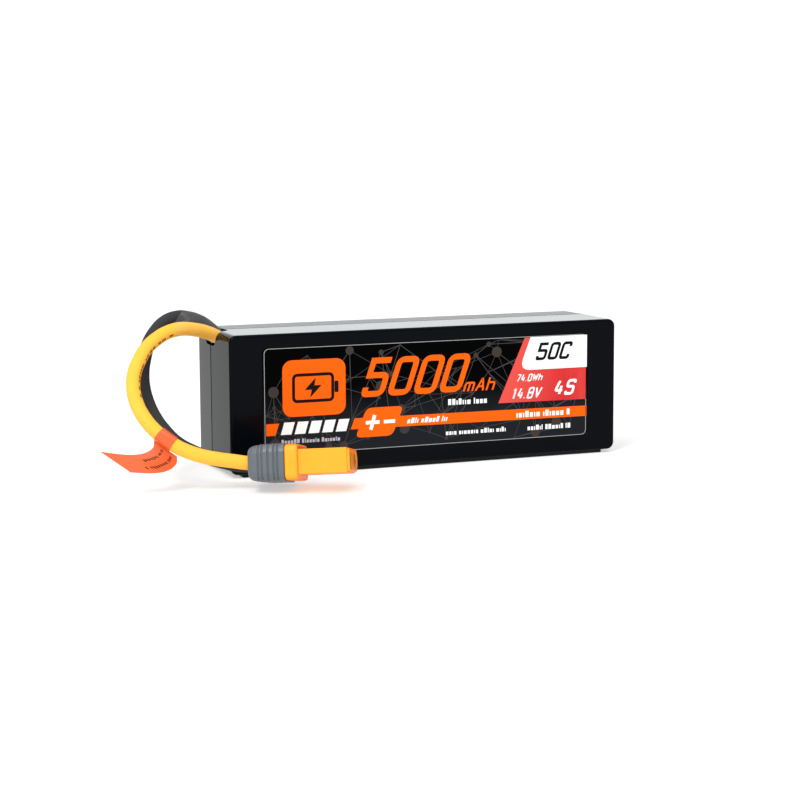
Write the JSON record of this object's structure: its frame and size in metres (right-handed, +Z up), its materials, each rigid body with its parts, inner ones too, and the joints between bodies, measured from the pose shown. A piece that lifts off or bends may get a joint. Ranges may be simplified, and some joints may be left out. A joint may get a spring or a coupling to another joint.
{
  "type": "lipo battery pack",
  "caption": "Glossy black moulded battery case standing on its long side, with a printed film on its face, two looping power leads and a two-pole connector.",
  "frame": {"origin": "middle of the underside of the case's resting pad, leads and connector not counted", "axes": "+X along the case away from the lead end, -Y out of the printed face, +Z up"},
  "size_m": [0.1848, 0.0773, 0.0537],
  "materials": {
    "case_plastic": "glossy moulded black plastic",
    "printed_film": "printed film, near black with orange and red print",
    "cell_foil": "aluminium laminated pouch foil, embossed edges",
    "foam": "soft packing foam and foam tape",
    "amber_tape": "amber polyimide tape",
    "bare_aluminium": "soft aluminium strip",
    "nickel": "nickel strip",
    "circuit_board": "green solder mask on glass fibre board",
    "solder": "tin solder",
    "copper": "tinned copper strands",
    "chip_plastic": "moulded chip package",
    "gold_plate": "gold plated brass",
    "insulating_card": "insulating fish paper",
    "yellow_silicone": "soft yellow silicone insulation with a low sheen",
    "black_silicone": "soft black silicone insulation with a low sheen",
    "clear_film": "clear shrink film",
    "tag_vinyl": "glossy orange red vinyl",
    "grey_plastic": "slate grey moulded plastic",
    "amber_plastic": "amber moulded nylon"
  },
  "bodies": {
    "root": {"front_shell": "case_plastic", "rear_shell": "case_plastic", "front_label": "printed_film", "rear_label": "printed_film", "cell_1": "cell_foil", "cell_2": "cell_foil", "cell_3": "cell_foil", "cell_4": "cell_foil", "cell_pads": "foam", "stack_tape": "amber_tape", "side_foam": "foam", "base_foam": "foam", "end_foam": "foam", "positive_tabs": "bare_aluminium", "negative_tabs": "nickel", "tab_board": "circuit_board", "series_links": "nickel", "tab_solder": "solder", "lead_cores": "copper", "lead_solder": "solder", "management_board": "circuit_board", "board_chips": "chip_plastic", "balance_resistors": "chip_plastic", "board_pins": "gold_plate", "temperature_sensor": "chip_plastic", "insulating_card": "insulating_card", "positive_lead": "yellow_silicone", "negative_lead": "black_silicone", "clear_sleeve": "clear_film", "lead_tag": "tag_vinyl", "connector_boot": "grey_plastic", "connector_housing": "amber_plastic", "positive_contact": "gold_plate", "negative_contact": "gold_plate", "contact_solder": "solder"}
  },
  "joints": []
}
